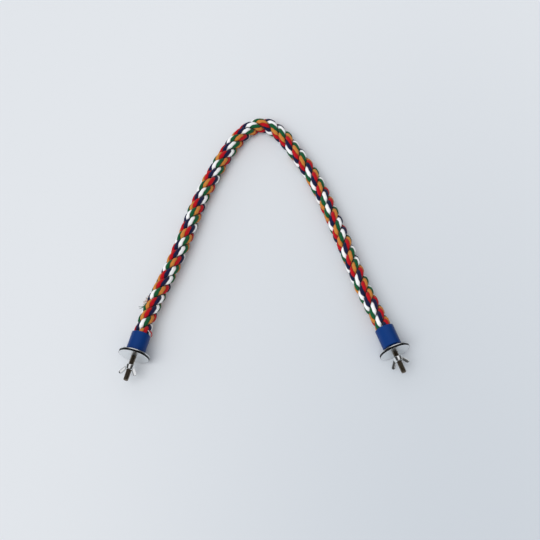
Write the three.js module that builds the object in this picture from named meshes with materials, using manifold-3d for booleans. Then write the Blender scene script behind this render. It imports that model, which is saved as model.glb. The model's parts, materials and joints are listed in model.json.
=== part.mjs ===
// Rope bird swing: a wire-cored rope perch bent to an arch, with a bolted clamp at each end.
// Millimetres, +Z up. The arch lies on a table, on the rims of its washers and on its crown.
import * as THREE from 'three';
import { mergeVertices } from 'three/addons/utils/BufferGeometryUtils.js';
import Module from 'manifold-3d';

// Rope and its bendable core
const ROPE_DIAMETER = 16;
const CORE_DIAMETER = 3;
// Gap that separate pieces keep where they meet
const FIT_GAP = 0.3;

// Plastic cap over each rope end
const CAP_WALL = 0.95;
const CAP_LENGTH = 20;
const CAP_FLOOR = 2;
const CAP_EDGE_RADIUS = 0.5;

// M5 hexagon bolt
const BOLT_DIAMETER = 5;
const BOLT_SHANK = 30;
const BOLT_TIP_CHAMFER = 0.7;
const HEAD_ACROSS_FLATS = 8;
const HEAD_HEIGHT = 3.5;
const HEAD_SIDES = 6;

// Large clamp washers
const WASHER_DIAMETER = 30;
const WASHER_THICKNESS = 1.2;
const WASHER_EDGE_CHAMFER = 0.2;

// Wing nut
const HUB_BASE_DIAMETER = 9;
const HUB_TOP_DIAMETER = 7.6;
const HUB_HEIGHT = 4.8;
const WING_SPAN = 18.5;
const NUT_HEIGHT = 10;
const WING_WIDTH = 3.6;
const WING_THICKNESS = 2.2;

// How the two ends differ: how far the washers hang off the cap, the bare thread up to the nut, the nut's turn
const ENDS = {
  left: { washerSlack: 0, bareThread: 9.4, nutTurnDegrees: 10 },
  right: { washerSlack: 3.2, bareThread: 5, nutTurnDegrees: 25 },
};

// Centre line of the rope in the plane of the arch, from the left cap's end to the right cap's end
const ROUTE = [
  [-128.2, -94.4], [-123.1, -74.6], [-116.6, -53.0], [-109.3, -33.1], [-101.8, -14.9], [-94.7, 3.4],
  [-88.3, 21.7], [-82.5, 40.3], [-76.8, 59.0], [-70.6, 77.2], [-63.1, 95.1], [-55.2, 112.7],
  [-46.5, 129.9], [-38.8, 143.1], [-29.3, 155.5], [-23.8, 160.8], [-16.9, 165.2], [-9.4, 167.1],
  [-1.8, 165.9], [5.0, 162.0], [10.6, 156.6], [15.4, 150.6], [23.9, 137.7], [32.2, 124.5],
  [41.8, 107.7], [50.0, 90.3], [57.2, 72.3], [64.0, 54.1], [70.4, 35.8], [76.7, 17.4],
  [82.8, -1.3], [89.1, -19.7], [96.3, -37.9], [104.0, -55.5], [109.8, -69.3], [116.5, -87.5],
];
// Where the rope is cut into stretches, measured along it from the crown of the arch to each side
const CROWN_REACH = 5;
const BEND_REACH = 18;
const SHOULDER_REACH = 45;

// Facets
const ROPE_SIDES = 12;
const CORE_SIDES = 8;
const ROUND_SIDES = 32;
const WASHER_SIDES = 48;
const ARC_STEPS = 4;
const ROPE_STEP = 16;

const COLOURS = {
  rope: { color: 0xb03a2e, roughness: 0.95, metalness: 0 },
  core: { color: 0x8d9196, roughness: 0.45, metalness: 1 },
  cap: { color: 0x1d4f9c, roughness: 0.45, metalness: 0 },
  glue: { color: 0xe6dcc0, roughness: 0.5, metalness: 0 },
  bolt: { color: 0x6f675c, roughness: 0.4, metalness: 1 },
  zinc: { color: 0xc9ccd0, roughness: 0.3, metalness: 1 },
};

// Sizes that follow from the ones above
const ropeRadius = ROPE_DIAMETER / 2;
const coreRadius = CORE_DIAMETER / 2;
const boltRadius = BOLT_DIAMETER / 2;
const boltHoleRadius = boltRadius + FIT_GAP;
const capBoreRadius = ropeRadius + FIT_GAP;
const capRadius = capBoreRadius + CAP_WALL;
const headCornerRadius = HEAD_ACROSS_FLATS / Math.sqrt(3);
const underHead = -(CAP_FLOOR + FIT_GAP);
const headBack = underHead - HEAD_HEIGHT;
const boltTip = underHead + BOLT_SHANK;
const washerPitch = WASHER_THICKNESS + FIT_GAP;

const wasm = await Module();
wasm.setup();

function solidFromGeometry(geometry) {
  const bare = geometry.clone();
  bare.deleteAttribute('normal');
  bare.deleteAttribute('uv');
  const merged = mergeVertices(bare, 1e-4);
  return new wasm.Manifold(new wasm.Mesh({
    numProp: 3,
    vertProperties: new Float32Array(merged.attributes.position.array),
    triVerts: new Uint32Array(merged.index.array),
  }));
}

function geometryFromSolid(solid) {
  const mesh = solid.getMesh();
  const geometry = new THREE.BufferGeometry();
  geometry.setAttribute('position', new THREE.BufferAttribute(new Float32Array(mesh.vertProperties), 3));
  geometry.setIndex(new THREE.BufferAttribute(new Uint32Array(mesh.triVerts), 1));
  geometry.computeVertexNormals();
  return geometry;
}

function united(geometries) {
  return geometries.map(solidFromGeometry).reduce((sum, next) => sum.add(next));
}

// A piece turned about Z. The profile is a list of [radius, height], counter-clockwise.
function turned(profile, sides = ROUND_SIDES) {
  const points = profile.map(([radius, height]) => new THREE.Vector2(radius, height));
  return new THREE.LatheGeometry(points, sides).rotateX(Math.PI / 2);
}

function polygon(radius, sides, Kind = THREE.Shape) {
  const corners = Array.from({ length: sides }, (_, i) => {
    const angle = (2 * Math.PI * i) / sides;
    return new THREE.Vector2(radius * Math.cos(angle), radius * Math.sin(angle));
  });
  return new Kind(corners);
}

function piece(name, geometry, finish) {
  const mesh = new THREE.Mesh(geometry, new THREE.MeshStandardMaterial(COLOURS[finish]));
  mesh.name = name;
  return mesh;
}

// The rope's route
const route = new THREE.CatmullRomCurve3(ROUTE.map(([x, y]) => new THREE.Vector3(x, y, 0)));
route.arcLengthDivisions = 2000;
const routeLength = route.getLength();

class Stretch extends THREE.Curve {
  constructor(from, to) {
    super();
    this.from = from;
    this.to = to;
  }

  getPoint(t, target) {
    return route.getPointAt(THREE.MathUtils.lerp(this.from, this.to, t) / routeLength, target);
  }
}

function crownStation() {
  const samples = route.getSpacedPoints(route.arcLengthDivisions);
  const highest = samples.reduce((best, point, i) => (point.y > samples[best].y ? i : best), 0);
  return (highest / route.arcLengthDivisions) * routeLength;
}

function ropeStretch(from, to) {
  const section = polygon(ropeRadius, ROPE_SIDES);
  section.holes.push(polygon(coreRadius + FIT_GAP, CORE_SIDES, THREE.Path));
  const steps = Math.max(2, Math.ceil((to - from) / ROPE_STEP));
  return new THREE.ExtrudeGeometry(section, { extrudePath: new Stretch(from, to), steps, bevelEnabled: false });
}

function coreStretch(from, to) {
  const steps = Math.max(2, Math.ceil((to - from) / ROPE_STEP));
  const extrudePath = new Stretch(from, to);
  return new THREE.ExtrudeGeometry(polygon(coreRadius, CORE_SIDES), { extrudePath, steps, bevelEnabled: false });
}

// Pieces of one end, on the bolt's axis: Z points out of the cap and starts at the cap's end face
function endCap() {
  const bottom = -CAP_LENGTH;
  const edge = CAP_EDGE_RADIUS;
  const outline = new THREE.Path();
  outline.moveTo(capBoreRadius, bottom);
  outline.lineTo(capRadius, bottom);
  outline.lineTo(capRadius, -edge);
  outline.absarc(capRadius - edge, -edge, edge, 0, Math.PI / 2, false);
  outline.lineTo(boltHoleRadius, 0);
  outline.lineTo(boltHoleRadius, -CAP_FLOOR);
  outline.lineTo(capBoreRadius, -CAP_FLOOR);
  outline.lineTo(capBoreRadius, bottom);
  return turned(outline.getPoints(ARC_STEPS).map((point) => [point.x, point.y]));
}

function bolt() {
  const headMiddle = (underHead + headBack) / 2;
  const head = new THREE.CylinderGeometry(headCornerRadius, headCornerRadius, HEAD_HEIGHT, HEAD_SIDES);
  head.rotateX(Math.PI / 2).translate(0, 0, headMiddle);
  const shank = turned([
    [0, headMiddle],
    [boltRadius, headMiddle],
    [boltRadius, boltTip - BOLT_TIP_CHAMFER],
    [boltRadius - BOLT_TIP_CHAMFER, boltTip],
    [0, boltTip],
  ]);
  return geometryFromSolid(united([head, shank]));
}

// Hardened glue that fills the cap round the bolt's head
function gluePlug() {
  const radius = capBoreRadius - FIT_GAP;
  const pocketRadius = headCornerRadius + FIT_GAP;
  return turned([
    [pocketRadius, headBack],
    [radius, headBack],
    [radius, underHead],
    [pocketRadius, underHead],
    [pocketRadius, headBack],
  ]);
}

function washer() {
  const radius = WASHER_DIAMETER / 2;
  const edge = WASHER_EDGE_CHAMFER;
  return turned([
    [boltHoleRadius, 0],
    [radius - edge, 0],
    [radius, edge],
    [radius, WASHER_THICKNESS - edge],
    [radius - edge, WASHER_THICKNESS],
    [boltHoleRadius, WASHER_THICKNESS],
    [boltHoleRadius, 0],
  ], WASHER_SIDES);
}

// A wing is a bar with a round tip that leans from the hub's foot out to the span and the full height
function wing(direction) {
  const half = WING_WIDTH / 2;
  const root = new THREE.Vector2(HUB_TOP_DIAMETER / 2 - half / 2, half);
  const tip = new THREE.Vector2(WING_SPAN / 2 - half, NUT_HEIGHT - half);
  const lean = Math.atan2(tip.y - root.y, tip.x - root.x);
  const side = lean + Math.PI / 2;
  const outline = new THREE.Shape();
  outline.moveTo(root.x - half * Math.cos(side), root.y - half * Math.sin(side));
  outline.absarc(tip.x, tip.y, half, side - Math.PI, side, false);
  outline.lineTo(root.x + half * Math.cos(side), root.y + half * Math.sin(side));
  outline.closePath();
  const bar = new THREE.ExtrudeGeometry(outline, {
    depth: WING_THICKNESS, bevelEnabled: false, curveSegments: 2 * ARC_STEPS,
  });
  bar.translate(0, 0, -WING_THICKNESS / 2).rotateX(Math.PI / 2);
  return direction > 0 ? bar : bar.rotateZ(Math.PI);
}

function wingNut() {
  const hub = turned([
    [0, 0],
    [HUB_BASE_DIAMETER / 2, 0],
    [HUB_TOP_DIAMETER / 2, HUB_HEIGHT],
    [0, HUB_HEIGHT],
  ]);
  const drill = turned([
    [0, -FIT_GAP],
    [boltHoleRadius, -FIT_GAP],
    [boltHoleRadius, NUT_HEIGHT + FIT_GAP],
    [0, NUT_HEIGHT + FIT_GAP],
  ]);
  return geometryFromSolid(united([hub, wing(1), wing(-1)]).subtract(solidFromGeometry(drill)));
}

// Where the washers and the nut sit along the bolt
function stackHeights(side) {
  const innerWasher = FIT_GAP + ENDS[side].washerSlack;
  const outerWasher = innerWasher + washerPitch;
  const clampFace = outerWasher + WASHER_THICKNESS;
  return { innerWasher, outerWasher, clampFace, nut: clampFace + ENDS[side].bareThread };
}

// A group whose Z points out of the rope's end, with its Y square to the plane of the arch
function endGroup(side) {
  const heights = stackHeights(side);
  const innerWasher = piece(`${side}_inner_washer`, washer(), 'zinc');
  innerWasher.position.z = heights.innerWasher;
  const outerWasher = piece(`${side}_outer_washer`, washer(), 'zinc');
  outerWasher.position.z = heights.outerWasher;
  const nut = piece(`${side}_wing_nut`, wingNut(), 'zinc');
  nut.position.z = heights.nut;
  nut.rotation.z = THREE.MathUtils.degToRad(ENDS[side].nutTurnDegrees);

  const station = side === 'left' ? 0 : 1;
  const outward = route.getTangentAt(station).multiplyScalar(side === 'left' ? -1 : 1);
  const up = new THREE.Vector3(0, 0, 1);
  const across = new THREE.Vector3().crossVectors(up, outward);
  const group = new THREE.Group();
  group.quaternion.setFromRotationMatrix(new THREE.Matrix4().makeBasis(across, up, outward));
  group.position.copy(route.getPointAt(station));
  group.add(
    piece(`${side}_end_cap`, endCap(), 'cap'),
    piece(`${side}_bolt`, bolt(), 'bolt'),
    piece(`${side}_glue_plug`, gluePlug(), 'glue'),
    innerWasher,
    outerWasher,
    nut,
  );
  return group;
}

// Rope and core in stretches, with their ends inside the caps behind the bolts' heads
const STRETCHES = [
  'left_leg', 'left_shoulder', 'left_bend', 'crown', 'right_bend', 'right_shoulder', 'right_leg',
];

function ropePieces() {
  const endDepth = FIT_GAP - headBack;
  const reaches = [-SHOULDER_REACH, -BEND_REACH, -CROWN_REACH, CROWN_REACH, BEND_REACH, SHOULDER_REACH];
  const cuts = reaches.map((reach) => crownStation() + reach);
  const starts = [endDepth, ...cuts.map((station) => station + FIT_GAP / 2)];
  const finishes = [...cuts.map((station) => station - FIT_GAP / 2), routeLength - endDepth];
  return STRETCHES.flatMap((place, i) => [
    piece(`rope_${place}`, ropeStretch(starts[i], finishes[i]), 'rope'),
    piece(`core_${place}`, coreStretch(starts[i], finishes[i]), 'core'),
  ]);
}

// The arch leans so that the crown of the rope and the rims of the washers all touch the table
const arch = new THREE.Group();
arch.add(...ropePieces(), endGroup('left'), endGroup('right'));
const crownY = route.getPointAt(crownStation() / routeLength).y;
const endsY = (route.getPointAt(0).y + route.getPointAt(1).y) / 2;
const stackMiddle = (stackHeights('left').outerWasher + stackHeights('right').outerWasher) / 2;
arch.rotation.x = -Math.asin((WASHER_DIAMETER / 2 - ropeRadius) / (crownY - endsY + stackMiddle));

// The origin is the middle of the base of the part's box
const part = new THREE.Group();
part.add(arch);
const box = new THREE.Box3().setFromObject(part, true);
arch.position.set(-(box.min.x + box.max.x) / 2, -(box.min.y + box.max.y) / 2, -box.min.z);
part.updateMatrixWorld(true);

export default part;
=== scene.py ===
import json
import math

import bpy
import numpy as np
from mathutils import Matrix, Vector


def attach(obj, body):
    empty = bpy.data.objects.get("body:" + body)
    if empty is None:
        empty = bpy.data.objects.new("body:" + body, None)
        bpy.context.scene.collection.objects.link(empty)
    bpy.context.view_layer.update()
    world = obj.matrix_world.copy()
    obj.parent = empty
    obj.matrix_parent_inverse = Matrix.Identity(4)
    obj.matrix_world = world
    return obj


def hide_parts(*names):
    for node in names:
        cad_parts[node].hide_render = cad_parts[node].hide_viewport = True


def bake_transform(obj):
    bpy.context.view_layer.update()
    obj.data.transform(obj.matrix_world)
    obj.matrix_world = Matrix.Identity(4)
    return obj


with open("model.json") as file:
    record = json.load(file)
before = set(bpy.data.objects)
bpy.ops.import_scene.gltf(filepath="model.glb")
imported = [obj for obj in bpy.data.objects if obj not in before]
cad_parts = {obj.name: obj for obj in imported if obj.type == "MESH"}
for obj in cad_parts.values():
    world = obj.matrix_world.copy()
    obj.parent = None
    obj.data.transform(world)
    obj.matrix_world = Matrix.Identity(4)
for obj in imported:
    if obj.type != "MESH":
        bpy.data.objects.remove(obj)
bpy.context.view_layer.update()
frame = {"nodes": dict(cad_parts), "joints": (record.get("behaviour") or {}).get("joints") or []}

MM = 0.001
FULL_TURN = 2 * math.pi
scene = bpy.context.scene

# Camera: on the near side, looking down on the arch at 65 degrees
LOOK_AT = Vector((0.0054, -0.0267, 0.0))
CAMERA_FROM_LOOK_AT = Vector((0.0, -0.4032, 0.8646))
LENS_MM = 63.33
SENSOR_MM = 36.0
CLIP_NEAR = 0.01
CLIP_FAR = 50.0


def aim(obj, offset):
    """Puts a camera or a lamp at this offset from the point that is looked at, facing it."""
    obj.location = LOOK_AT + offset
    obj.rotation_mode = "QUATERNION"
    obj.rotation_quaternion = (-offset).to_track_quat("-Z", "Y")
    scene.collection.objects.link(obj)


camera_data = bpy.data.cameras.new("camera")
camera_data.lens = LENS_MM
camera_data.sensor_width = SENSOR_MM
camera_data.clip_start = CLIP_NEAR
camera_data.clip_end = CLIP_FAR
camera = bpy.data.objects.new("camera", camera_data)
aim(camera, CAMERA_FROM_LOOK_AT)
scene.camera = camera
scene.view_settings.view_transform = "Standard"

# The rope's centre line in the plane of the arch, in metres, from the left cap's end to the right cap's end
ROUTE = [
    (-0.1282, -0.0944), (-0.1231, -0.0746), (-0.1166, -0.0530), (-0.1093, -0.0331), (-0.1018, -0.0149),
    (-0.0947, 0.0034), (-0.0883, 0.0217), (-0.0825, 0.0403), (-0.0768, 0.0590), (-0.0706, 0.0772),
    (-0.0631, 0.0951), (-0.0552, 0.1127), (-0.0465, 0.1299), (-0.0388, 0.1431), (-0.0293, 0.1555),
    (-0.0238, 0.1608), (-0.0169, 0.1652), (-0.0094, 0.1671), (-0.0018, 0.1659), (0.0050, 0.1620),
    (0.0106, 0.1566), (0.0154, 0.1506), (0.0239, 0.1377), (0.0322, 0.1245), (0.0418, 0.1077),
    (0.0500, 0.0903), (0.0572, 0.0723), (0.0640, 0.0541), (0.0704, 0.0358), (0.0767, 0.0174),
    (0.0828, -0.0013), (0.0891, -0.0197), (0.0963, -0.0379), (0.1040, -0.0555), (0.1098, -0.0693),
    (0.1165, -0.0875),
]
ROPE_RADIUS = 8.0 * MM
CORE_RADIUS = 1.5 * MM
CAP_LENGTH = 20.0 * MM
# How far inside the cap's end the rope stops
ROPE_END_DEPTH = 6.1 * MM
HINGE_FROM_CROWN = 18.0 * MM
# How far ahead and behind the rope's direction is measured
TANGENT_REACH = 0.5 * MM

joints = {joint["name"]: joint for joint in frame["joints"]}
arch_normal = np.array(joints["right_flex"]["axis"], float)
arch_right = np.array([1.0, 0.0, 0.0])
arch_up = np.cross(arch_normal, arch_right)


def centripetal_curve(points, steps=80):
    """Points of the centripetal Catmull-Rom curve through the given points."""
    points = np.array(points, float)
    ends = np.vstack([2 * points[0] - points[1], points, 2 * points[-1] - points[-2]])
    t = np.linspace(0, 1, steps, endpoint=False)[:, None]
    curve = []
    for p0, p1, p2, p3 in zip(ends, ends[1:], ends[2:], ends[3:]):
        d0 = np.linalg.norm(p1 - p0) ** 0.5
        d1 = np.linalg.norm(p2 - p1) ** 0.5
        d2 = np.linalg.norm(p3 - p2) ** 0.5
        m1 = ((p1 - p0) / d0 - (p2 - p0) / (d0 + d1) + (p2 - p1) / d1) * d1
        m2 = ((p2 - p1) / d1 - (p3 - p1) / (d1 + d2) + (p3 - p2) / d2) * d1
        hermite = (2 * t**3 - 3 * t**2 + 1) * p1 + (t**3 - 2 * t**2 + t) * m1
        curve.append(hermite + (3 * t**2 - 2 * t**3) * p2 + (t**3 - t**2) * m2)
    curve.append(points[-1:])
    return np.vstack(curve)


route = centripetal_curve(ROUTE)
route_steps = np.linalg.norm(np.diff(route, axis=0), axis=1)
route_stations = np.concatenate([[0.0], np.cumsum(route_steps)])
route_length = route_stations[-1]
crown_station = route_stations[np.argmax(route[:, 1])]


def route_point(station):
    """The route's points in the plane of the arch at these distances along it."""
    x = np.interp(station, route_stations, route[:, 0])
    y = np.interp(station, route_stations, route[:, 1])
    return np.stack([x, y], axis=-1)


right_hinge = route_point(crown_station + HINGE_FROM_CROWN)
arch_origin = np.array(joints["right_flex"]["pos_m"], float)
arch_origin = arch_origin - right_hinge[0] * arch_right - right_hinge[1] * arch_up


def in_space(flat):
    """Points of the plane of the arch in the frame's coordinates."""
    flat = np.asarray(flat, float)
    return arch_origin + flat[..., :1] * arch_right + flat[..., 1:] * arch_up


def rope_frame(stations):
    """Centres and right-hand sides of the rope at these stations."""
    ahead = route_point(np.minimum(stations + TANGENT_REACH, route_length))
    behind = route_point(np.maximum(stations - TANGENT_REACH, 0.0))
    along = ahead - behind
    along = along / np.linalg.norm(along, axis=-1, keepdims=True)
    along = along[..., :1] * arch_right + along[..., 1:] * arch_up
    return in_space(route_point(stations)), np.cross(along, arch_normal)


# Materials
def linear(red, green, blue):
    """A colour written as 0 to 255 on screen, as light."""
    def one(value):
        value = value / 255
        return value / 12.92 if value <= 0.04045 else ((value + 0.055) / 1.055) ** 2.4
    return (one(red), one(green), one(blue), 1.0)


def shade(colour, factor):
    """A colour made darker or lighter."""
    return tuple(min(1.0, channel * factor) for channel in colour[:3]) + (1.0,)


# Sockets of a Mix node for colours, which share their names with those for numbers
MIX_FACTOR, MIX_FIRST, MIX_SECOND = 0, 6, 7
MIX_RESULT = 2


def set_inputs(node, inputs):
    """Sets a node's sockets, by name or number."""
    for socket, value in inputs.items():
        node.inputs[socket].default_value = value


def add_node(owner, kind, inputs=None, **settings):
    """A new node of a material or of the world."""
    node = owner.node_tree.nodes.new(kind)
    for key, value in settings.items():
        setattr(node, key, value)
    set_inputs(node, inputs or {})
    return node


def join_sockets(owner, source, target):
    """Links one node's output to another's input."""
    owner.node_tree.links.new(source, target)


def set_ramp(node, stops):
    """Gives a colour ramp these stops of (position, colour)."""
    elements = node.color_ramp.elements
    for element, (position, colour) in zip(elements, (stops[0], stops[-1])):
        element.position = position
        element.color = colour
    for position, colour in stops[1:-1]:
        elements.new(position).color = colour


def new_material(name, colour, roughness, metallic=0.0, specular=0.5):
    """A new material and its shader."""
    material = bpy.data.materials.new(name)
    material.use_nodes = True
    shader = material.node_tree.nodes["Principled BSDF"]
    set_inputs(shader, {
        "Base Color": colour, "Roughness": roughness, "Metallic": metallic, "Specular IOR Level": specular,
    })
    return material, shader


# Yarn: fibres wind round it, lighter and darker ones mixed
FIBRE_LEAN = math.radians(-24)
FIBRE_STRETCH = 0.35
PLY_SHARE = 0.55
YARN_BUMP = 0.3 * MM
LIGHTEST_FIBRE = 1.12
DARKEST_FIBRE = 0.72
DARKEST_WHITE_FIBRE = 0.86
DARK_FIBRES_TO = 0.3
LIGHT_FIBRES_FROM = 0.72
# Painted shade: it darkens in the grooves beside other yarns, and most in the valleys beside other strands
DARKEST_SHADE = 0.05
GROOVE_DARKNESS = 0.5
GROOVE_SHADE_WIDTH = 0.15
VALLEY_SHADE_FROM = 0.86
YARN_MIDDLE = 0.5


def painted_yarn_shade(material, place):
    """How much painted shade a yarn gets from the grooves and valleys beside it, as a socket."""
    split_place = add_node(material, "ShaderNodeSeparateXYZ")
    join_sockets(material, place.outputs["UV"], split_place.inputs["Vector"])
    from_edge = add_node(material, "ShaderNodeMath", {1: YARN_MIDDLE}, operation="PINGPONG")
    join_sockets(material, split_place.outputs["Y"], from_edge.inputs[0])
    groove = add_node(material, "ShaderNodeMapRange", {
        "From Max": GROOVE_SHADE_WIDTH, "To Min": GROOVE_DARKNESS, "To Max": 0.0,
    }, interpolation_type="SMOOTHSTEP")
    join_sockets(material, from_edge.outputs["Value"], groove.inputs["Value"])
    strand_edge = add_node(material, "ShaderNodeAttribute", attribute_name="valley")
    valley = add_node(material, "ShaderNodeMapRange", {
        "From Min": VALLEY_SHADE_FROM,
    }, interpolation_type="SMOOTHSTEP")
    join_sockets(material, strand_edge.outputs["Fac"], valley.inputs["Value"])
    darkness = add_node(material, "ShaderNodeMath", operation="MAXIMUM")
    join_sockets(material, groove.outputs["Result"], darkness.inputs[0])
    join_sockets(material, valley.outputs["Result"], darkness.inputs[1])
    return darkness.outputs["Value"]


def yarn_material(name, colour, darkest=DARKEST_FIBRE):
    """Soft spun yarn of twisted plies, with painted shade in its grooves and valleys."""
    material, shader = new_material(name, colour, roughness=0.88, specular=0.25)
    set_inputs(shader, {"Sheen Weight": 0.12, "Sheen Roughness": 0.5})
    place = add_node(material, "ShaderNodeUVMap", uv_map="fibre")
    stretch = add_node(material, "ShaderNodeMapping", {
        "Rotation": (0.0, 0.0, FIBRE_LEAN), "Scale": (FIBRE_STRETCH, 1.0, 1.0),
    })
    join_sockets(material, place.outputs["UV"], stretch.inputs["Vector"])
    fibres = add_node(material, "ShaderNodeTexNoise", {"Scale": 9.0, "Detail": 4.0, "Roughness": 0.65})
    join_sockets(material, stretch.outputs["Vector"], fibres.inputs["Vector"])
    plies = add_node(material, "ShaderNodeTexWave", {
        "Scale": 0.9, "Distortion": 1.2, "Detail": 1.0,
    }, wave_type="BANDS", bands_direction="Y")
    join_sockets(material, stretch.outputs["Vector"], plies.inputs["Vector"])
    relief = add_node(material, "ShaderNodeMath", {1: PLY_SHARE}, operation="MULTIPLY_ADD")
    join_sockets(material, plies.outputs["Fac"], relief.inputs[0])
    join_sockets(material, fibres.outputs["Fac"], relief.inputs[2])
    bump = add_node(material, "ShaderNodeBump", {"Strength": 0.55, "Distance": YARN_BUMP})
    join_sockets(material, relief.outputs["Value"], bump.inputs["Height"])
    join_sockets(material, bump.outputs["Normal"], shader.inputs["Normal"])
    tint = add_node(material, "ShaderNodeValToRGB")
    set_ramp(tint, [
        (DARK_FIBRES_TO, shade(colour, darkest)), (LIGHT_FIBRES_FROM, shade(colour, LIGHTEST_FIBRE)),
    ])
    join_sockets(material, fibres.outputs["Fac"], tint.inputs["Fac"])
    # Painted shade: the fibres' tint goes nearly black in the grooves and valleys
    shaded = add_node(material, "ShaderNodeMix", {
        MIX_SECOND: shade(colour, DARKEST_SHADE),
    }, data_type="RGBA")
    join_sockets(material, painted_yarn_shade(material, place), shaded.inputs[MIX_FACTOR])
    join_sockets(material, tint.outputs["Color"], shaded.inputs[MIX_FIRST])
    join_sockets(material, shaded.outputs[MIX_RESULT], shader.inputs["Base Color"])
    return material


def worn_material(name, colour, roughness, spread, grain, bump_height, metallic=1.0, specular=0.5):
    """A hard surface whose roughness wanders a little, with a faint unevenness."""
    material, shader = new_material(name, colour, roughness, metallic, specular)
    place = add_node(material, "ShaderNodeTexCoord")
    noise = add_node(material, "ShaderNodeTexNoise", {"Scale": grain, "Detail": 3.0})
    join_sockets(material, place.outputs["Object"], noise.inputs["Vector"])
    uneven = add_node(material, "ShaderNodeMapRange", {
        "To Min": roughness - spread, "To Max": roughness + spread,
    })
    join_sockets(material, noise.outputs["Fac"], uneven.inputs["Value"])
    join_sockets(material, uneven.outputs["Result"], shader.inputs["Roughness"])
    bump = add_node(material, "ShaderNodeBump", {"Strength": 0.3, "Distance": bump_height})
    join_sockets(material, noise.outputs["Fac"], bump.inputs["Height"])
    join_sockets(material, bump.outputs["Normal"], shader.inputs["Normal"])
    return material


# The yarns in their order round a strand
yarns = {
    "green": yarn_material("yarn_green", linear(13, 89, 51)),
    "orange": yarn_material("yarn_orange", linear(205, 132, 57)),
    "red": yarn_material("yarn_red", linear(188, 6, 24)),
    "navy": yarn_material("yarn_navy", linear(20, 26, 66)),
    "white": yarn_material("yarn_white", linear(248, 251, 255), darkest=DARKEST_WHITE_FIBRE),
}
yarn_order = list(yarns)
cap_plastic = worn_material(
    "cap_plastic", linear(9, 53, 117), roughness=0.38, spread=0.06, grain=900.0, bump_height=0.04 * MM,
    metallic=0.0, specular=0.15,
)
zinc = worn_material(
    "zinc_plate", linear(236, 238, 238), roughness=0.14, spread=0.03, grain=500.0, bump_height=0.006 * MM,
)
washer_zinc = worn_material(
    "washer_plate", linear(234, 236, 237), roughness=0.3, spread=0.05, grain=500.0, bump_height=0.006 * MM,
)
# Painted shade and dark reflection for the washers' rims: a near-black metal
painted_rim_shade = worn_material(
    "painted_rim_shade", linear(34, 34, 36), roughness=0.42, spread=0.08, grain=900.0, bump_height=0.02 * MM,
)
stud_steel = worn_material(
    "stud_steel", linear(112, 102, 88), roughness=0.32, spread=0.08, grain=1500.0, bump_height=0.02 * MM,
)
core_steel = worn_material(
    "core_steel", linear(150, 152, 156), roughness=0.4, spread=0.06, grain=800.0, bump_height=0.03 * MM,
)
glue = worn_material(
    "hard_glue", linear(232, 222, 196), roughness=0.45, spread=0.08, grain=500.0, bump_height=0.1 * MM,
    metallic=0.0,
)


# Meshes
def add_mesh(name, points, faces, materials, face_materials=None, smooth=True):
    """A new object; face_materials gives the number of each face's material."""
    mesh = bpy.data.meshes.new(name)
    mesh.from_pydata([tuple(point) for point in points], [], [tuple(face) for face in faces])
    for material in materials:
        mesh.materials.append(material)
    if face_materials is not None:
        mesh.polygons.foreach_set("material_index", np.asarray(face_materials, np.int32))
    mesh.polygons.foreach_set("use_smooth", np.full(len(mesh.polygons), smooth))
    mesh.update(calc_edges=True)
    obj = bpy.data.objects.new(name, mesh)
    scene.collection.objects.link(obj)
    return obj


def tube_faces(rings, sides, base=0):
    """Faces of a tube through rings of points, shut at its first ring and its last."""
    last = base + (rings - 1) * sides
    faces = []
    for low in range(base, last, sides):
        for k in range(sides):
            after = (k + 1) % sides
            faces.append((low + k, low + after, low + sides + after, low + sides + k))
    faces.append(tuple(range(base, base + sides))[::-1])
    faces.append(tuple(range(last, last + sides)))
    return faces


def set_fibre_places(obj, places):
    """Says where each corner of each face lies on the pattern of the fibres."""
    layer = obj.data.uv_layers.new(name="fibre")
    layer.data.foreach_set("uv", np.array(places, np.float32).ravel())


def mark_sharp(obj, sharp):
    """Marks the edges between these pairs of points as sharp."""
    pairs = np.zeros(len(obj.data.edges) * 2, np.int32)
    obj.data.edges.foreach_get("vertices", pairs)
    marks = [tuple(sorted(pair)) in sharp for pair in pairs.reshape(-1, 2).tolist()]
    attribute = obj.data.attributes.new("sharp_edge", "BOOLEAN", "EDGE")
    attribute.data.foreach_set("value", marks)


# The rope: three strands laid right-handed, five yarns in each
STRANDS = 3
YARNS = len(yarns)
# The marks below are for strands that face this way: towards the inside of the arch, more so at the crown
FACING_ON_LEGS = math.radians(15.0)
FACING_AT_CROWN = math.radians(25.0)
CROWN_HALF = 60.0 * MM
# Where the first strand faces so, every two turns of the lay, in millimetres from the left cap's end
LAY_MARKS = [-35, 32, 101, 174, 250, 322, 400, 472, 543, 615]
TURNS_BETWEEN_MARKS = 2
FIRST_MARK_TURN = -2
# How many yarns have come round to the top of each strand after these turns of its lay
YARN_MARK_TURNS = [-2, 5, 9, 16]
YARNS_PASSED = [
    [-12.0, 28.3, 50.7, 90.1],
    [-8.7, 29.8, 53.2, 95.2],
    [-10.0, 32.5, 57.4, 100.5],
]
STRAND_CENTRE = 0.553 * ROPE_RADIUS
STRAND_HALF_DEPTH = 0.447 * ROPE_RADIUS
STRAND_HALF_WIDTH = 0.59 * ROPE_RADIUS
STRAND_SECTOR = math.radians(58.8)
STRAND_INNER_RADIUS = 1.6 * MM
LARGEST_RADIUS = 8.1 * MM
YARN_GROOVE = 0.2
YARN_ROUNDNESS = 2.5
POINTS_PER_YARN = 10
POINTS_PER_STRAND = YARNS * POINTS_PER_YARN
RING_STEP = 0.8 * MM
# Length of rope that counts as one in the pattern of the fibres, where a yarn's width counts as one too
FIBRE_UNIT = 4.7 * MM
CUT_END_PLACES = [(0.0, 0.0), (0.0, 0.1), (0.1, 0.1)]
# Unevenness of the lay, of the yarns' twist and of their fullness: how much, and its shortest wave
LAY_WANDER = (0.05, 41 * MM)
TWIST_WANDER = (0.07, 33 * MM)
FULLNESS_WANDER = (0.035, 27 * MM)
WAVES = 3
WAVE_GROWTH = 1.7
WAVE_DIVISOR = 2.0
random = np.random.default_rng(seed=11)


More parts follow.
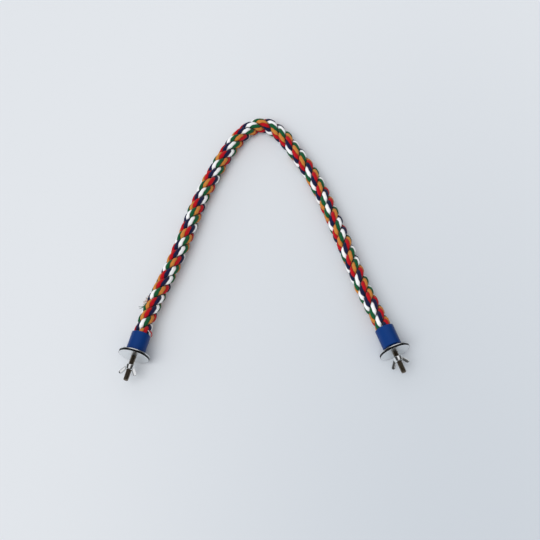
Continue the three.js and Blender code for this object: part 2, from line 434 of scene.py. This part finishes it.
def wander(stations, amount, shortest):
    """A smooth seeded unevenness along the rope."""
    total = np.zeros_like(stations)
    for wave in range(WAVES):
        wavelength = shortest * (1.0 + WAVE_GROWTH * wave)
        total += np.sin(FULL_TURN * stations / wavelength + random.uniform(0, FULL_TURN))
    return amount * total / WAVE_DIVISOR


def strand_rings(stations, strand):
    """Ring points of one strand, stations by points by three, and how near each is to the next strand."""
    number = np.arange(POINTS_PER_STRAND)
    lobe = number // POINTS_PER_YARN
    part = (number % POINTS_PER_YARN) / POINTS_PER_YARN - 0.5
    marks = np.array(LAY_MARKS) * MM
    mark_turns = FIRST_MARK_TURN + TURNS_BETWEEN_MARKS * np.arange(len(marks))
    turns = np.interp(stations, marks, mark_turns) - strand / STRANDS
    from_crown = np.abs(stations - crown_station)
    facing = np.interp(from_crown, [0.0, CROWN_HALF], [FACING_AT_CROWN, FACING_ON_LEGS])
    heading = FULL_TURN * turns + facing + wander(stations, *LAY_WANDER)
    foremost = np.interp(turns, YARN_MARK_TURNS, YARNS_PASSED[strand]) + wander(stations, *TWIST_WANDER)
    angle = FULL_TURN / YARNS * (lobe + part - foremost[:, None])
    across = angle - heading[:, None]
    size = 1.0 / np.hypot(np.cos(across) / STRAND_HALF_DEPTH, np.sin(across) / STRAND_HALF_WIDTH)
    fullness = np.stack([1.0 + wander(stations, *FULLNESS_WANDER) for _ in range(YARNS)], axis=1)
    groove = 1.0 - YARN_GROOVE * np.abs(2 * part) ** YARN_ROUNDNESS
    size = size * fullness[:, lobe] * groove
    x = STRAND_CENTRE * np.sin(heading)[:, None] + size * np.sin(angle)
    y = STRAND_CENTRE * np.cos(heading)[:, None] + size * np.cos(angle)
    radius = np.clip(np.hypot(x, y), STRAND_INNER_RADIUS, LARGEST_RADIUS)
    turn = np.arctan2(x, y) - heading[:, None]
    turn = (turn + math.pi) % FULL_TURN - math.pi
    turn = np.clip(turn, -STRAND_SECTOR, STRAND_SECTOR)
    nearness = np.abs(turn) / STRAND_SECTOR
    turn = turn + heading[:, None]
    centre, right = rope_frame(stations)
    sideways = (radius * np.sin(turn))[..., None] * right[:, None, :]
    upward = (radius * np.cos(turn))[..., None] * arch_normal
    return centre[:, None, :] + sideways + upward, nearness


def rope_half(name, stations):
    """One half of the rope as a mesh of closed strands, a colour for each yarn."""
    count = POINTS_PER_STRAND
    rings = len(stations)
    vertices, faces, colours, places, valley, sharp = [], [], [], [], [], set()
    for strand in range(STRANDS):
        base = len(vertices)
        grid, nearness = strand_rings(stations, strand)
        vertices.extend(grid.reshape(-1, 3))
        valley.extend(nearness.ravel())
        for ring in range(rings - 1):
            low = base + ring * count
            high = low + count
            start = stations[ring] / FIBRE_UNIT
            end = stations[ring + 1] / FIBRE_UNIT
            for k in range(count):
                after = (k + 1) % count
                faces.append((low + k, low + after, high + after, high + k))
                colours.append(k // POINTS_PER_YARN)
                left = k / POINTS_PER_YARN
                right = (k + 1) / POINTS_PER_YARN
                places.extend([(start, left), (start, right), (end, right), (end, left)])
                if k % POINTS_PER_YARN == 0:
                    sharp.add((low + k, high + k))
        for ring in (0, rings - 1):
            middle = len(vertices)
            vertices.append(grid[ring].mean(axis=0))
            valley.append(0.0)
            low = base + ring * count
            for k in range(count):
                pair = (low + (k + 1) % count, low + k)
                pair = pair if ring == 0 else pair[::-1]
                faces.append((middle, *pair))
                colours.append(k // POINTS_PER_YARN)
                places.extend(CUT_END_PLACES)
                sharp.add((min(pair), max(pair)))
    obj = add_mesh(name, vertices, faces, yarns.values(), colours)
    set_fibre_places(obj, places)
    obj.data.attributes.new("valley", "FLOAT", "POINT").data.foreach_set("value", valley)
    mark_sharp(obj, sharp)
    return obj


def core_half(name, stations, sides=12):
    """The wire inside one half of the rope."""
    centre, right = rope_frame(stations)
    angle = FULL_TURN * np.arange(sides) / sides
    ring = np.sin(angle)[:, None, None] * right + np.cos(angle)[:, None, None] * arch_normal
    grid = (centre + CORE_RADIUS * ring).transpose(1, 0, 2)
    return add_mesh(name, grid.reshape(-1, 3), tube_faces(len(stations), sides), [core_steel])


STRETCHES = ("leg", "shoulder", "bend")
ROPE_RINGS_PER_CORE_RING = 3
CAP_ENDS = {"left": 0.0, "right": route_length}
for side, cap_end in CAP_ENDS.items():
    inward = 1.0 if side == "left" else -1.0
    rope_end = cap_end + inward * ROPE_END_DEPTH
    half_length = abs(crown_station - rope_end)
    span = sorted((rope_end, crown_station))
    ring_count = int(round(half_length / RING_STEP))
    stations = np.linspace(*span, ring_count + 1)
    rope = rope_half(f"rope_{side}_half", stations)
    core = core_half(f"core_{side}_half", np.linspace(*span, ring_count // ROPE_RINGS_PER_CORE_RING))
    # The left half also stands for the crown
    nodes = [f"{side}_{stretch}" for stretch in STRETCHES]
    if side == "left":
        nodes.append("crown")
    for piece, kind, slot in ((rope, "rope", "rope"), (core, "core", "core_wire")):
        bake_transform(piece)
        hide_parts(*[f"{kind}_{node}" for node in nodes])
    path = in_space(route_point(stations))
    path = path if side == "left" else path[::-1]

# Loose threads by the left cap
THREAD_TAPER = 0.45
THREAD_PLACE_STEP = 0.3
# Each has points of (station, degrees from the top to the right, radius), a thickness and a yarn
LEFT_THREADS = [
    ([(47.5, -58, 7.4), (46.6, -72, 8.6), (45.8, -77, 10.4), (45.6, -80, 12.2)], 0.9, "green"),
    ([(47.0, -60, 7.4), (45.4, -72, 8.7), (44.2, -76, 10.0), (43.9, -78, 11.0)], 0.6, "green"),
    ([(25.2, 62, 6.6), (24.2, 69, 8.6), (22.8, 74, 10.3), (21.0, 76, 10.9), (19.2, 77, 10.7)], 1.4, "red"),
    ([(24.6, 52, 7.0), (23.2, 58, 8.6), (21.6, 61, 9.8), (19.8, 62, 10.1)], 0.7, "white"),
]
# A tuft of fine fibres above them, in millimetres and degrees
TUFT_FIBRES = 26
TUFT_GREEN_EVERY = 3
TUFT_STATIONS = (48.0, 58.0)
TUFT_LEANS = (-1.5, 1.5)
TUFT_ANGLES = (-92, -55)
TUFT_REACHES = (1.0, 2.4)
TUFT_ROOT = 7.2
TUFT_SURFACE = 7.8
TUFT_BEND = 0.4
TUFT_MIDDLE_TURN = 3
TUFT_TIP_TURN = 5
TUFT_TURN_PER_LEAN = 3
TUFT_THICKNESS = 0.28


def rope_place(station, degrees, radius):
    """The point at this station of the rope, turned from the top to the right, at this radius."""
    centre, right = rope_frame(np.array([station]))
    angle = math.radians(degrees)
    return centre[0] + radius * (math.sin(angle) * right[0] + math.cos(angle) * arch_normal)


def tuft_fibre():
    """Points of one fine fibre, as those of a loose thread."""
    station = random.uniform(*TUFT_STATIONS)
    lean = random.uniform(*TUFT_LEANS)
    angle = random.uniform(*TUFT_ANGLES)
    reach = random.uniform(*TUFT_REACHES)
    return [
        (station, angle, TUFT_ROOT),
        (station + TUFT_BEND * lean, angle - TUFT_MIDDLE_TURN, TUFT_SURFACE + TUFT_BEND * reach),
        (station + lean, angle - TUFT_TIP_TURN + TUFT_TURN_PER_LEAN * lean, TUFT_SURFACE + reach),
    ]


def loose_threads(name, threads, sides=7, steps=5):
    """Tapered closed tubes as one mesh, one for each thread."""
    vertices, faces, colours, places = [], [], [], []
    for points, thickness, yarn in threads:
        middle = centripetal_curve([rope_place(s * MM, a, r * MM) for s, a, r in points], steps)
        along = np.gradient(middle, axis=0)
        along /= np.linalg.norm(along, axis=1, keepdims=True)
        first = np.cross(along, arch_normal)
        first /= np.linalg.norm(first, axis=1, keepdims=True)
        second = np.cross(along, first)
        half = thickness * MM / 2 * np.linspace(1.0, THREAD_TAPER, len(middle))
        tube = tube_faces(len(middle), sides, base=len(vertices))
        for k, centre in enumerate(middle):
            for turn in FULL_TURN * np.arange(sides) / sides:
                vertices.append(centre + half[k] * (math.cos(turn) * first[k] + math.sin(turn) * second[k]))
        for k in range(len(middle) - 1):
            start = THREAD_PLACE_STEP * k
            end = start + THREAD_PLACE_STEP
            for i in range(sides):
                left = i / sides
                right = (i + 1) / sides
                places.extend([(start, left), (start, right), (end, right), (end, left)])
        places.extend([(0.0, 0.0)] * (2 * sides))
        faces.extend(tube)
        colours.extend([yarn_order.index(yarn)] * len(tube))
    obj = add_mesh(name, vertices, faces, yarns.values(), colours)
    set_fibre_places(obj, places)
    return obj


left_threads = list(LEFT_THREADS)
for number in range(TUFT_FIBRES):
    yarn = "orange" if number % TUFT_GREEN_EVERY else "green"
    left_threads.append((tuft_fibre(), TUFT_THICKNESS, yarn))
threads = loose_threads("left_loose_threads", left_threads)
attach(threads, "left_leg")

# Ends: each is built on its bolt's axis, with Z out of the cap, and starts at the cap's end face
FIT_GAP = 0.3 * MM
CAP_RADIUS = 9.25 * MM
CAP_BORE = ROPE_RADIUS + FIT_GAP
CAP_FLOOR = 2.0 * MM
CAP_EDGE = 0.6 * MM
CAP_LIP = 0.25 * MM
CAP_SIDES = 96
BOLT_RADIUS = 2.5 * MM
BOLT_LENGTH = 30.0 * MM
BOLT_HOLE = BOLT_RADIUS + FIT_GAP
BOLT_SIDES = 40
HEAD_HEIGHT = 3.5 * MM
HEAD_CORNER = 4.62 * MM
HEAD_SIDES = 6
HEAD_TOP = -CAP_FLOOR - FIT_GAP
HEAD_BACK = HEAD_TOP - HEAD_HEIGHT
BOLT_TIP = HEAD_TOP + BOLT_LENGTH
TIP_CHAMFER = 0.7 * MM
THREAD_PITCH = 0.8 * MM
THREAD_ROOT = 2.03 * MM
# Shares of half a pitch that the crest and the flank of the thread take
THREAD_CREST = 0.12
THREAD_FLANK = 0.66
RINGS_PER_PITCH = 10
WASHER_RADIUS = 15.0 * MM
WASHER_THICKNESS = 1.2 * MM
WASHER_EDGE = 0.3 * MM
WASHER_EDGE_STEPS = 5
WASHER_SIDES = 128
HUB_BASE = 4.5 * MM
HUB_TOP = 3.8 * MM
HUB_HEIGHT = 4.8 * MM
HUB_ROUNDING = 0.5 * MM
HUB_ROUNDING_STEPS = 4
HUB_TAPER_DEGREES = 10
HUB_SIDES = 64
WING_THICKNESS = 2.2 * MM
WING_ROOT = (2.9 * MM, 1.8 * MM)
WING_TIP = (7.45 * MM, 8.2 * MM)
WING_HALF_WIDTH = 1.8 * MM
# A wing starts at this share of its width and ends at this share of its thickness
WING_ROOT_SHARE = 0.86
WING_TIP_SHARE = 0.55
WING_SQUARENESS = 0.35
WING_RINGS = 8
WING_TIP_RINGS = (0.35, 0.65, 0.87, 0.98)
WING_SIDES = 20
NUT_VOXEL = 0.16 * MM
NUT_SMOOTHING = 0.5
NUT_SMOOTHING_PASSES = 5
# Edges with a wider bend than this stay sharp
SHARP_DEGREES = 40
THREAD_SHARP_DEGREES = 50
ENDS = {
    "left": {"slack": 0.0, "bare_thread": 9.4 * MM, "nut_turn": math.radians(10)},
    "right": {"slack": 3.2 * MM, "bare_thread": 5.0 * MM, "nut_turn": math.radians(25)},
}


def lathe(name, profile, materials, sides, finish=None):
    """A closed ring turned about Z from (radius, height) points. Finish numbers each side's material."""
    count = len(profile)
    vertices, faces = [], []
    face_finish = list(finish or [0] * count) * sides
    for k in range(sides):
        angle = FULL_TURN * k / sides
        vertices += [(r * math.cos(angle), r * math.sin(angle), z) for r, z in profile]
    for k in range(sides):
        here = k * count
        there = (k + 1) % sides * count
        for i in range(count):
            j = (i + 1) % count
            faces.append((here + i, there + i, there + j, here + j))
    return add_mesh(name, vertices, faces, materials, face_finish)


def arc(centre_r, centre_z, radius, start, end, steps=6):
    """Points of a rounded corner, from one angle to another in degrees."""
    angles = np.radians(np.linspace(start, end, steps + 1))
    return [(centre_r + radius * math.cos(a), centre_z + radius * math.sin(a)) for a in angles]


def shade_by_angle(obj, degrees):
    """Smooth shading that stops at edges sharper than this."""
    obj.data.set_sharp_from_angle(angle=math.radians(degrees))


def cap(name):
    """A moulded cap: a cup with a floor that the bolt passes through."""
    profile = arc(CAP_RADIUS - CAP_LIP, -CAP_LENGTH + CAP_LIP, CAP_LIP, -90, 0)
    profile += arc(CAP_RADIUS - CAP_EDGE, -CAP_EDGE, CAP_EDGE, 0, 90)
    profile += [(BOLT_HOLE, 0.0), (BOLT_HOLE, -CAP_FLOOR), (CAP_BORE, -CAP_FLOOR)]
    profile += arc(CAP_BORE + CAP_LIP, -CAP_LENGTH + CAP_LIP, CAP_LIP, 180, 270)
    obj = lathe(name, profile, [cap_plastic], CAP_SIDES)
    shade_by_angle(obj, SHARP_DEGREES)
    return obj


def washer(name, dark_rim):
    """A plated washer. Its outward edge has a painted dark band of shade and dark reflection, and the rest
    of a dark rim has it too.
    """
    inset = WASHER_RADIUS - WASHER_EDGE
    high = WASHER_THICKNESS
    profile = arc(inset, WASHER_EDGE, WASHER_EDGE, -90, 0, WASHER_EDGE_STEPS)
    profile += arc(inset, high - WASHER_EDGE, WASHER_EDGE, 0, 90, WASHER_EDGE_STEPS)
    profile += [(BOLT_HOLE, high), (BOLT_HOLE, 0.0)]
    plated, dark = 0, 1
    rim = dark if dark_rim else plated
    finish = [rim] * (WASHER_EDGE_STEPS + 1) + [dark] * WASHER_EDGE_STEPS
    finish += [plated] * (len(profile) - len(finish))
    obj = lathe(name, profile, [washer_zinc, painted_rim_shade], WASHER_SIDES, finish)
    shade_by_angle(obj, SHARP_DEGREES)
    return obj


def bolt(name):
    """Hexagon bolt with a rolled thread down to its head."""
    rings = int(round(BOLT_LENGTH / THREAD_PITCH * RINGS_PER_PITCH)) + 1
    heights = np.linspace(HEAD_TOP, BOLT_TIP, rings)
    angles = FULL_TURN * np.arange(BOLT_SIDES) / BOLT_SIDES
    phase = (heights[:, None] / THREAD_PITCH - angles / FULL_TURN) % 1.0
    ramp = np.clip((np.abs(phase - 0.5) * 2 - THREAD_CREST) / THREAD_FLANK, 0, 1)
    radius = BOLT_RADIUS - (BOLT_RADIUS - THREAD_ROOT) * ramp
    room = BOLT_RADIUS - TIP_CHAMFER + (BOLT_TIP - heights)
    radius = np.minimum(radius, room[:, None])
    grid = np.stack([
        radius * np.cos(angles), radius * np.sin(angles), np.repeat(heights[:, None], BOLT_SIDES, axis=1),
    ], axis=-1)
    vertices = list(grid.reshape(-1, 3))
    faces = tube_faces(rings, BOLT_SIDES) + tube_faces(2, HEAD_SIDES, base=len(vertices))
    for z in (HEAD_BACK, HEAD_TOP):
        for k in range(HEAD_SIDES):
            angle = FULL_TURN * k / HEAD_SIDES
            vertices.append((HEAD_CORNER * math.cos(angle), HEAD_CORNER * math.sin(angle), z))
    obj = add_mesh(name, vertices, faces, [stud_steel])
    shade_by_angle(obj, THREAD_SHARP_DEGREES)
    return obj


def squared(value):
    """A sine or cosine pushed outward, which makes a circle a rounded square."""
    return math.copysign(abs(value) ** WING_SQUARENESS, value)


def wing_solid(direction):
    """A rounded bar from the hub's foot to the wing's tip, as points and faces."""
    root, tip = np.array(WING_ROOT), np.array(WING_TIP)
    length = np.linalg.norm(tip - root)
    lean = (tip - root) / length
    side = np.array([-lean[1], lean[0]])
    stations = list(np.linspace(0.0, length, WING_RINGS))
    stations += [length + WING_HALF_WIDTH * share for share in WING_TIP_RINGS]
    vertices = []
    for along in stations:
        past = max(0.0, along - length) / WING_HALF_WIDTH
        share = math.sqrt(1.0 - past * past)
        widening = WING_ROOT_SHARE + (1.0 - WING_ROOT_SHARE) * min(1.0, along / length)
        broad = WING_HALF_WIDTH * widening * share
        thick = WING_THICKNESS / 2 * (WING_TIP_SHARE + (1.0 - WING_TIP_SHARE) * share)
        for k in range(WING_SIDES):
            angle = FULL_TURN * k / WING_SIDES
            flat = root + along * lean + broad * squared(math.cos(angle)) * side
            deep = thick * squared(math.sin(angle))
            vertices.append((direction * flat[0], direction * deep, flat[1]))
    return vertices, tube_faces(len(stations), WING_SIDES)


def wing_nut(name):
    """A cast wing nut: hub and wings grown into one skin."""
    top = HUB_HEIGHT - HUB_ROUNDING
    profile = arc(HUB_BASE - HUB_ROUNDING, HUB_ROUNDING, HUB_ROUNDING, -90, 0, HUB_ROUNDING_STEPS)
    profile += arc(HUB_TOP - HUB_ROUNDING, top, HUB_ROUNDING, HUB_TAPER_DEGREES, 90, HUB_ROUNDING_STEPS)
    profile += [(BOLT_HOLE, HUB_HEIGHT), (BOLT_HOLE, 0.0)]
    hub = lathe(name, profile, [zinc], HUB_SIDES)
    vertices = [tuple(vertex.co) for vertex in hub.data.vertices]
    faces = [tuple(polygon.vertices) for polygon in hub.data.polygons]
    for direction in (1, -1):
        wing_points, wing_faces = wing_solid(direction)
        base = len(vertices)
        vertices += wing_points
        faces += [tuple(base + i for i in face) for face in wing_faces]
    bpy.data.objects.remove(hub)
    nut = add_mesh(name, vertices, faces, [zinc])
    skin = nut.modifiers.new("skin", "REMESH")
    skin.mode = "VOXEL"
    skin.voxel_size = NUT_VOXEL
    skin.use_smooth_shade = True
    soft = nut.modifiers.new("soft", "SMOOTH")
    soft.factor = NUT_SMOOTHING
    soft.iterations = NUT_SMOOTHING_PASSES
    grown = bpy.data.meshes.new_from_object(nut.evaluated_get(bpy.context.evaluated_depsgraph_get()))
    nut.modifiers.clear()
    nut.data = grown
    return nut


def keep(obj, body, node, place):
    """Puts a piece in place on its body, for the CAD node it stands for."""
    obj.matrix_world = place
    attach(obj, body)
    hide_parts(node)


for side, values in ENDS.items():
    spin = joints[f"{side}_nut_spin"]
    outward = Vector(spin["axis"]).normalized()
    normal = Vector(arch_normal).normalized()
    across = normal.cross(outward)
    inner_height = FIT_GAP + values["slack"]
    outer_height = inner_height + WASHER_THICKNESS + FIT_GAP
    nut_height = outer_height + WASHER_THICKNESS + values["bare_thread"]
    face = Vector(spin["pos_m"]) - outward * (inner_height + WASHER_THICKNESS / 2)
    axes = Matrix((across, normal, outward)).transposed().to_4x4()
    end = Matrix.Translation(face) @ axes
    leg = f"{side}_leg"
    keep(cap(f"{side}_cap"), leg, f"{side}_end_cap", end)
    keep(bolt(f"{side}_threaded_bolt"), leg, f"{side}_bolt", end)
    for layer, height in (("inner", inner_height), ("outer", outer_height)):
        node = f"{side}_{layer}_washer"
        lift = Matrix.Translation((0, 0, height))
        keep(washer(f"{side}_{layer}_disc", layer == "outer"), node, node, end @ lift)
    lift = Matrix.Translation((0, 0, nut_height)) @ Matrix.Rotation(values["nut_turn"], 4, "Z")
    keep(wing_nut(f"{side}_cast_nut"), f"{side}_wing_nut", f"{side}_wing_nut", end @ lift)
    plug = frame["nodes"][f"{side}_glue_plug"]
    plug.data.materials.clear()
    plug.data.materials.append(glue)

# Table: painted shade makes it a little darker to the near right, in a patch that is longer from near to
# far than across
TABLE_HALF = 6.0
TABLE_LIGHT = linear(225, 229, 234)
TABLE_DARK = linear(202, 209, 217)
DARK_PLACE = (0.2, -0.5, 0.0)
DARK_REACH = 0.47
DARK_LENGTHWAYS = 0.43
table_material, table_shader = new_material("table", TABLE_LIGHT, roughness=0.75, specular=0.1)
table_place = add_node(table_material, "ShaderNodeTexCoord")
painted_shade_patch = add_node(table_material, "ShaderNodeMapping", {
    "Location": DARK_PLACE, "Scale": (1.0, 1.0 / DARK_LENGTHWAYS, 1.0),
}, vector_type="TEXTURE")
join_sockets(table_material, table_place.outputs["Object"], painted_shade_patch.inputs["Vector"])
from_patch = add_node(table_material, "ShaderNodeVectorMath", operation="LENGTH")
join_sockets(table_material, painted_shade_patch.outputs["Vector"], from_patch.inputs[0])
lightness = add_node(table_material, "ShaderNodeMapRange", {
    "From Max": DARK_REACH,
}, interpolation_type="SMOOTHSTEP")
join_sockets(table_material, from_patch.outputs["Value"], lightness.inputs["Value"])
# Painted shade: the table's colour turns darker towards the patch's middle
table_with_painted_shade = add_node(table_material, "ShaderNodeMix", {
    MIX_FIRST: TABLE_DARK, MIX_SECOND: TABLE_LIGHT,
}, data_type="RGBA")
join_sockets(table_material, lightness.outputs["Result"], table_with_painted_shade.inputs[MIX_FACTOR])
join_sockets(table_material, table_with_painted_shade.outputs[MIX_RESULT], table_shader.inputs["Base Color"])
corners = [
    (-TABLE_HALF, -TABLE_HALF, 0), (TABLE_HALF, -TABLE_HALF, 0),
    (TABLE_HALF, TABLE_HALF, 0), (-TABLE_HALF, TABLE_HALF, 0),
]
table = add_mesh("table", corners, [(0, 1, 2, 3)], [table_material], smooth=False)

# Soft daylight from the near left, as wide as a large window
KEY_FROM = Vector((-1.05, -1.2, 2.95))
KEY_WIDTH = math.radians(46)
KEY_STRENGTH = 1.58
key_data = bpy.data.lights.new("window", "SUN")
key_data.angle = KEY_WIDTH
key_data.energy = KEY_STRENGTH
key = bpy.data.objects.new("window", key_data)
aim(key, KEY_FROM)
key.visible_glossy = False

# Light from around: strongest from the left. Metal mirrors a pale table, dark walls and a pale ceiling.
AMBIENT = 0.57
SIDE_LIGHT = 0.3
PALE = linear(217, 222, 228)
WALL = (0.05, 0.05, 0.05, 1.0)
CEILING = (0.85, 0.85, 0.87, 1.0)
# How high each of these starts, measured along this direction
CEILING_TOWARDS = (0.0, 0.4, 0.8)
WALL_FROM = 0.1
WALL_TO = 0.69
CEILING_FROM = 0.77
world = bpy.data.worlds.new("studio")
scene.world = world
world.use_nodes = True
background = world.node_tree.nodes["Background"]
background.inputs["Strength"].default_value = 1.0
ray = add_node(world, "ShaderNodeLightPath")
around = add_node(world, "ShaderNodeTexCoord")
direction_parts = add_node(world, "ShaderNodeSeparateXYZ")
join_sockets(world, around.outputs["Generated"], direction_parts.inputs["Vector"])
side_light = add_node(world, "ShaderNodeMapRange", {
    "From Min": -1.0, "To Min": AMBIENT + SIDE_LIGHT, "To Max": AMBIENT - SIDE_LIGHT,
})
join_sockets(world, direction_parts.outputs["X"], side_light.inputs["Value"])
backdrop = add_node(world, "ShaderNodeMix", {MIX_SECOND: PALE}, data_type="RGBA")
join_sockets(world, ray.outputs["Is Camera Ray"], backdrop.inputs[MIX_FACTOR])
join_sockets(world, side_light.outputs["Result"], backdrop.inputs[MIX_FIRST])
room_height = add_node(world, "ShaderNodeVectorMath", {1: CEILING_TOWARDS}, operation="DOT_PRODUCT")
join_sockets(world, around.outputs["Generated"], room_height.inputs[0])
room = add_node(world, "ShaderNodeValToRGB")
set_ramp(room, [(0.0, PALE), (WALL_FROM, WALL), (WALL_TO, WALL), (CEILING_FROM, CEILING)])
join_sockets(world, room_height.outputs["Value"], room.inputs["Fac"])
mirrored = add_node(world, "ShaderNodeMix", data_type="RGBA")
join_sockets(world, ray.outputs["Is Glossy Ray"], mirrored.inputs[MIX_FACTOR])
join_sockets(world, backdrop.outputs[MIX_RESULT], mirrored.inputs[MIX_FIRST])
join_sockets(world, room.outputs["Color"], mirrored.inputs[MIX_SECOND])
join_sockets(world, mirrored.outputs[MIX_RESULT], background.inputs["Color"])
